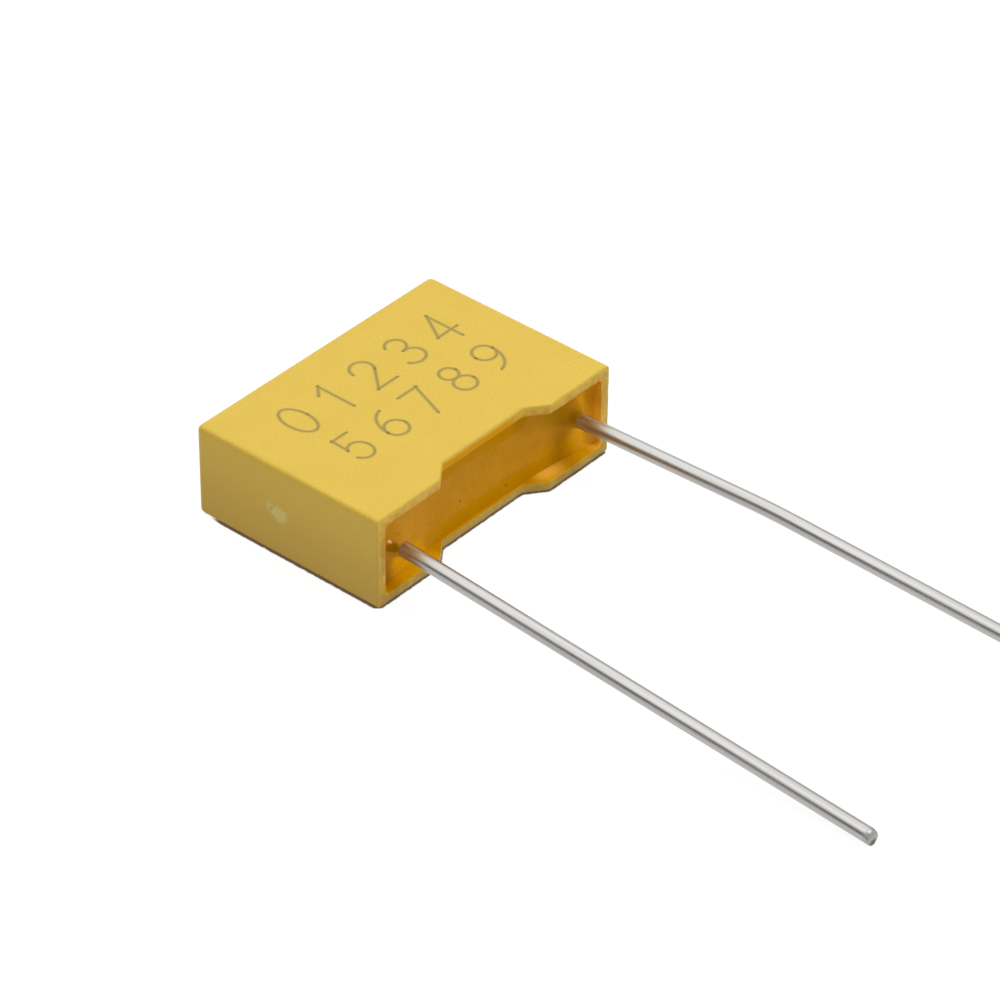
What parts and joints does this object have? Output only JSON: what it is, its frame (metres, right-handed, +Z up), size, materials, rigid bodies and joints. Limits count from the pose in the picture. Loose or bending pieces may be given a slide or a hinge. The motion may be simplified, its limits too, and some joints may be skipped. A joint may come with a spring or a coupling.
{
  "type": "box film capacitor",
  "caption": "Small box film capacitor: a moulded plastic box filled with resin, open between its feet, with two long wire leads.",
  "frame": {"origin": "centre of the large face that the case rests on", "axes": "+X along the lead pitch, +Y towards the closed end of the case, +Z up; the leads run towards -Y"},
  "size_m": [0.013, 0.0306, 0.004],
  "materials": {
    "case_plastic": "satin",
    "resin": "gloss",
    "metallised_film": "satin",
    "sprayed_metal": "matte",
    "tinned_wire": "satin",
    "print_ink": "matte"
  },
  "bodies": {
    "root": {"case": "case_plastic", "potting": "resin", "film_winding": "metallised_film", "end_spray_left": "sprayed_metal", "end_spray_right": "sprayed_metal", "lead_left": "tinned_wire", "lead_right": "tinned_wire"}
  },
  "joints": []
}
